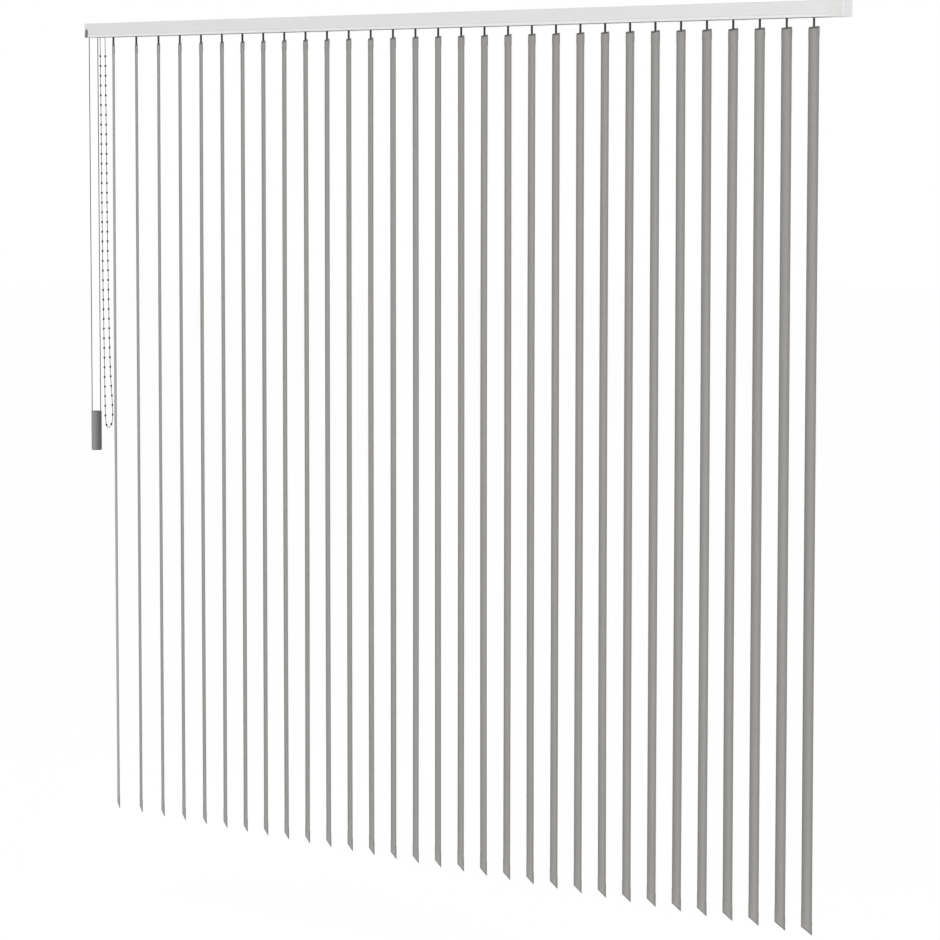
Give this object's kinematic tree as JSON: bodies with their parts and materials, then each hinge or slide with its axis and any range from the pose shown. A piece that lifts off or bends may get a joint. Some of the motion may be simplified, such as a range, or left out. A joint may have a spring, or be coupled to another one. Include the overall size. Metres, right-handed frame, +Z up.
{
  "type": "vertical blind",
  "caption": "Ceiling-hung vertical blind: slotted white head rail, turning fabric vanes on stems, weighted draw cord and beaded tilt chain at one end.",
  "frame": {"origin": "on the ceiling plane at the middle of the rail, between the screw holes of the clips", "axes": "+X along the rail away from the control end, +Y towards the window, +Z up"},
  "size_m": [2.6, 0.0688, 2.3366],
  "materials": {
    "rail_white": "satin white powder coat",
    "unit_white": "satin white moulding",
    "dark_plastic": "dark grey moulding",
    "carrier_grey": "mid grey acetal",
    "vane_fabric": "warm grey plain weave with darker selvedges",
    "rod_aluminium": "mill finish",
    "steel": "zinc plated",
    "cord_grey": "braided light grey polyester",
    "bead_grey": "dark grey moulding",
    "weight_grey": "dark grey satin moulding"
  },
  "bodies": {
    "root": {"head_rail": "rail_white", "control_housing": "unit_white", "cord_guide": "dark_plastic", "end_cap": "unit_white", "rod_bush": "carrier_grey", "lead_carrier": "carrier_grey", "carrier_row": "carrier_grey", "front_axle": "steel", "back_axle": "steel", "return_axle": "steel", "cord_weight": "weight_grey", "weight_axle": "steel", "draw_cord": "cord_grey", "bead_chain": "cord_grey", "chain_beads": "bead_grey", "ceiling_clip_1": "steel", "ceiling_clip_2": "steel", "ceiling_clip_3": "steel", "ceiling_clip_4": "steel"},
    "tilt_drive": {"tilt_rod": "rod_aluminium", "worms": "dark_plastic", "chain_wheel": "dark_plastic"},
    "front_pulley": {"front_pulley": "carrier_grey"},
    "back_pulley": {"back_pulley": "carrier_grey"},
    "return_pulley": {"return_pulley": "carrier_grey"},
    "weight_pulley": {"weight_pulley": "carrier_grey"},
    "vane_01": {"vane_01": "vane_fabric"},
    "vane_02": {"vane_02": "vane_fabric"},
    "vane_03": {"vane_03": "vane_fabric"},
    "vane_04": {"vane_04": "vane_fabric"},
    "vane_05": {"vane_05": "vane_fabric"},
    "vane_06": {"vane_06": "vane_fabric"},
    "vane_07": {"vane_07": "vane_fabric"},
    "vane_08": {"vane_08": "vane_fabric"},
    "vane_09": {"vane_09": "vane_fabric"},
    "vane_10": {"vane_10": "vane_fabric"},
    "vane_11": {"vane_11": "vane_fabric"},
    "vane_12": {"vane_12": "vane_fabric"},
    "vane_13": {"vane_13": "vane_fabric"},
    "vane_14": {"vane_14": "vane_fabric"},
    "vane_15": {"vane_15": "vane_fabric"},
    "vane_16": {"vane_16": "vane_fabric"},
    "vane_17": {"vane_17": "vane_fabric"},
    "vane_18": {"vane_18": "vane_fabric"},
    "vane_19": {"vane_19": "vane_fabric"},
    "vane_20": {"vane_20": "vane_fabric"},
    "vane_21": {"vane_21": "vane_fabric"},
    "vane_22": {"vane_22": "vane_fabric"},
    "vane_23": {"vane_23": "vane_fabric"},
    "vane_24": {"vane_24": "vane_fabric"},
    "vane_25": {"vane_25": "vane_fabric"},
    "vane_26": {"vane_26": "vane_fabric"},
    "vane_27": {"vane_27": "vane_fabric"},
    "vane_28": {"vane_28": "vane_fabric"},
    "vane_29": {"vane_29": "vane_fabric"},
    "vane_30": {"vane_30": "vane_fabric"},
    "vane_31": {"vane_31": "vane_fabric"}
  },
  "joints": [
    {"name": "vane_01_tilt", "type": "hinge", "parent": "root", "child": "vane_01", "pos_m": [-1.2033, 0, -0.032], "axis": [0, 0, 1], "range_deg": [-133.8, 36.2]},
    {"name": "vane_02_tilt", "type": "hinge", "parent": "root", "child": "vane_02", "pos_m": [-1.1102, 0, -0.032], "axis": [0, 0, 1], "range_deg": [-133.8, 36.2]},
    {"name": "vane_03_tilt", "type": "hinge", "parent": "root", "child": "vane_03", "pos_m": [-1.0209, 0, -0.032], "axis": [0, 0, 1], "range_deg": [-133.8, 36.2]},
    {"name": "vane_04_tilt", "type": "hinge", "parent": "root", "child": "vane_04", "pos_m": [-0.9361, 0, -0.032], "axis": [0, 0, 1], "range_deg": [-133.8, 36.2]},
    {"name": "vane_05_tilt", "type": "hinge", "parent": "root", "child": "vane_05", "pos_m": [-0.853, 0, -0.032], "axis": [0, 0, 1], "range_deg": [-133.8, 36.2]},
    {"name": "vane_06_tilt", "type": "hinge", "parent": "root", "child": "vane_06", "pos_m": [-0.7717, 0, -0.032], "axis": [0, 0, 1], "range_deg": [-133.8, 36.2]},
    {"name": "vane_07_tilt", "type": "hinge", "parent": "root", "child": "vane_07", "pos_m": [-0.6927, 0, -0.032], "axis": [0, 0, 1], "range_deg": [-133.8, 36.2]},
    {"name": "vane_08_tilt", "type": "hinge", "parent": "root", "child": "vane_08", "pos_m": [-0.6137, 0, -0.032], "axis": [0, 0, 1], "range_deg": [-133.8, 36.2]},
    {"name": "vane_09_tilt", "type": "hinge", "parent": "root", "child": "vane_09", "pos_m": [-0.5347, 0, -0.032], "axis": [0, 0, 1], "range_deg": [-133.8, 36.2]},
    {"name": "vane_10_tilt", "type": "hinge", "parent": "root", "child": "vane_10", "pos_m": [-0.4557, 0, -0.032], "axis": [0, 0, 1], "range_deg": [-133.8, 36.2]},
    {"name": "vane_11_tilt", "type": "hinge", "parent": "root", "child": "vane_11", "pos_m": [-0.3767, 0, -0.032], "axis": [0, 0, 1], "range_deg": [-133.8, 36.2]},
    {"name": "vane_12_tilt", "type": "hinge", "parent": "root", "child": "vane_12", "pos_m": [-0.2977, 0, -0.032], "axis": [0, 0, 1], "range_deg": [-133.8, 36.2]},
    {"name": "vane_13_tilt", "type": "hinge", "parent": "root", "child": "vane_13", "pos_m": [-0.2187, 0, -0.032], "axis": [0, 0, 1], "range_deg": [-133.8, 36.2]},
    {"name": "vane_14_tilt", "type": "hinge", "parent": "root", "child": "vane_14", "pos_m": [-0.1397, 0, -0.032], "axis": [0, 0, 1], "range_deg": [-133.8, 36.2]},
    {"name": "vane_15_tilt", "type": "hinge", "parent": "root", "child": "vane_15", "pos_m": [-0.0607, 0, -0.032], "axis": [0, 0, 1], "range_deg": [-133.8, 36.2]},
    {"name": "vane_16_tilt", "type": "hinge", "parent": "root", "child": "vane_16", "pos_m": [0.0183, 0, -0.032], "axis": [0, 0, 1], "range_deg": [-133.8, 36.2]},
    {"name": "vane_17_tilt", "type": "hinge", "parent": "root", "child": "vane_17", "pos_m": [0.0973, 0, -0.032], "axis": [0, 0, 1], "range_deg": [-133.8, 36.2]},
    {"name": "vane_18_tilt", "type": "hinge", "parent": "root", "child": "vane_18", "pos_m": [0.1763, 0, -0.032], "axis": [0, 0, 1], "range_deg": [-133.8, 36.2]},
    {"name": "vane_19_tilt", "type": "hinge", "parent": "root", "child": "vane_19", "pos_m": [0.2553, 0, -0.032], "axis": [0, 0, 1], "range_deg": [-133.8, 36.2]},
    {"name": "vane_20_tilt", "type": "hinge", "parent": "root", "child": "vane_20", "pos_m": [0.3343, 0, -0.032], "axis": [0, 0, 1], "range_deg": [-133.8, 36.2]},
    {"name": "vane_21_tilt", "type": "hinge", "parent": "root", "child": "vane_21", "pos_m": [0.4133, 0, -0.032], "axis": [0, 0, 1], "range_deg": [-133.8, 36.2]},
    {"name": "vane_22_tilt", "type": "hinge", "parent": "root", "child": "vane_22", "pos_m": [0.4923, 0, -0.032], "axis": [0, 0, 1], "range_deg": [-133.8, 36.2]},
    {"name": "vane_23_tilt", "type": "hinge", "parent": "root", "child": "vane_23", "pos_m": [0.5713, 0, -0.032], "axis": [0, 0, 1], "range_deg": [-133.8, 36.2]},
    {"name": "vane_24_tilt", "type": "hinge", "parent": "root", "child": "vane_24", "pos_m": [0.6503, 0, -0.032], "axis": [0, 0, 1], "range_deg": [-133.8, 36.2]},
    {"name": "vane_25_tilt", "type": "hinge", "parent": "root", "child": "vane_25", "pos_m": [0.7293, 0, -0.032], "axis": [0, 0, 1], "range_deg": [-133.8, 36.2]},
    {"name": "vane_26_tilt", "type": "hinge", "parent": "root", "child": "vane_26", "pos_m": [0.8083, 0, -0.032], "axis": [0, 0, 1], "range_deg": [-133.8, 36.2]},
    {"name": "vane_27_tilt", "type": "hinge", "parent": "root", "child": "vane_27", "pos_m": [0.8873, 0, -0.032], "axis": [0, 0, 1], "range_deg": [-133.8, 36.2]},
    {"name": "vane_28_tilt", "type": "hinge", "parent": "root", "child": "vane_28", "pos_m": [0.9663, 0, -0.032], "axis": [0, 0, 1], "range_deg": [-133.8, 36.2]},
    {"name": "vane_29_tilt", "type": "hinge", "parent": "root", "child": "vane_29", "pos_m": [1.0453, 0, -0.032], "axis": [0, 0, 1], "range_deg": [-133.8, 36.2]},
    {"name": "vane_30_tilt", "type": "hinge", "parent": "root", "child": "vane_30", "pos_m": [1.1243, 0, -0.032], "axis": [0, 0, 1], "range_deg": [-133.8, 36.2]},
    {"name": "vane_31_tilt", "type": "hinge", "parent": "root", "child": "vane_31", "pos_m": [1.2033, 0, -0.032], "axis": [0, 0, 1], "range_deg": [-133.8, 36.2]},
    {"name": "tilt_drive_turn", "type": "hinge", "parent": "root", "child": "tilt_drive", "pos_m": [-1.255, 0.007, -0.0245], "axis": [1, 0, 0], "range_deg": [-804.8, 219.2]},
    {"name": "weight_pulley_spin", "type": "hinge", "parent": "root", "child": "weight_pulley", "pos_m": [-1.2843, 0, -1.1685], "axis": [0.719, -0.695, 0], "continuous": true},
    {"name": "back_pulley_spin", "type": "hinge", "parent": "root", "child": "back_pulley", "pos_m": [-1.2708, 0.009, -0.0156], "axis": [0, 1, 0], "continuous": true},
    {"name": "front_pulley_spin", "type": "hinge", "parent": "root", "child": "front_pulley", "pos_m": [-1.2882, -0.009, -0.0156], "axis": [0, 1, 0], "continuous": true},
    {"name": "return_pulley_spin", "type": "hinge", "parent": "root", "child": "return_pulley", "pos_m": [1.282, 0, -0.0096], "axis": [0, 0, 1], "continuous": true}
  ],
  "couplings": [
    {"joint": "vane_02_tilt", "follows": "vane_01_tilt", "ratio": 1},
    {"joint": "vane_03_tilt", "follows": "vane_01_tilt", "ratio": 1},
    {"joint": "vane_04_tilt", "follows": "vane_01_tilt", "ratio": 1},
    {"joint": "vane_05_tilt", "follows": "vane_01_tilt", "ratio": 1},
    {"joint": "vane_06_tilt", "follows": "vane_01_tilt", "ratio": 1},
    {"joint": "vane_07_tilt", "follows": "vane_01_tilt", "ratio": 1},
    {"joint": "vane_08_tilt", "follows": "vane_01_tilt", "ratio": 1},
    {"joint": "vane_09_tilt", "follows": "vane_01_tilt", "ratio": 1},
    {"joint": "vane_10_tilt", "follows": "vane_01_tilt", "ratio": 1},
    {"joint": "vane_11_tilt", "follows": "vane_01_tilt", "ratio": 1},
    {"joint": "vane_12_tilt", "follows": "vane_01_tilt", "ratio": 1},
    {"joint": "vane_13_tilt", "follows": "vane_01_tilt", "ratio": 1},
    {"joint": "vane_14_tilt", "follows": "vane_01_tilt", "ratio": 1},
    {"joint": "vane_15_tilt", "follows": "vane_01_tilt", "ratio": 1},
    {"joint": "vane_16_tilt", "follows": "vane_01_tilt", "ratio": 1},
    {"joint": "vane_17_tilt", "follows": "vane_01_tilt", "ratio": 1},
    {"joint": "vane_18_tilt", "follows": "vane_01_tilt", "ratio": 1},
    {"joint": "vane_19_tilt", "follows": "vane_01_tilt", "ratio": 1},
    {"joint": "vane_20_tilt", "follows": "vane_01_tilt", "ratio": 1},
    {"joint": "vane_21_tilt", "follows": "vane_01_tilt", "ratio": 1},
    {"joint": "vane_22_tilt", "follows": "vane_01_tilt", "ratio": 1},
    {"joint": "vane_23_tilt", "follows": "vane_01_tilt", "ratio": 1},
    {"joint": "vane_24_tilt", "follows": "vane_01_tilt", "ratio": 1},
    {"joint": "vane_25_tilt", "follows": "vane_01_tilt", "ratio": 1},
    {"joint": "vane_26_tilt", "follows": "vane_01_tilt", "ratio": 1},
    {"joint": "vane_27_tilt", "follows": "vane_01_tilt", "ratio": 1},
    {"joint": "vane_28_tilt", "follows": "vane_01_tilt", "ratio": 1},
    {"joint": "vane_29_tilt", "follows": "vane_01_tilt", "ratio": 1},
    {"joint": "vane_30_tilt", "follows": "vane_01_tilt", "ratio": 1},
    {"joint": "vane_31_tilt", "follows": "vane_01_tilt", "ratio": 1},
    {"joint": "tilt_drive_turn", "follows": "vane_01_tilt", "ratio": 6},
    {"joint": "back_pulley_spin", "follows": "weight_pulley_spin", "ratio": 2.0863},
    {"joint": "front_pulley_spin", "follows": "weight_pulley_spin", "ratio": -2.0863},
    {"joint": "return_pulley_spin", "follows": "weight_pulley_spin", "ratio": -1.3908}
  ]
}
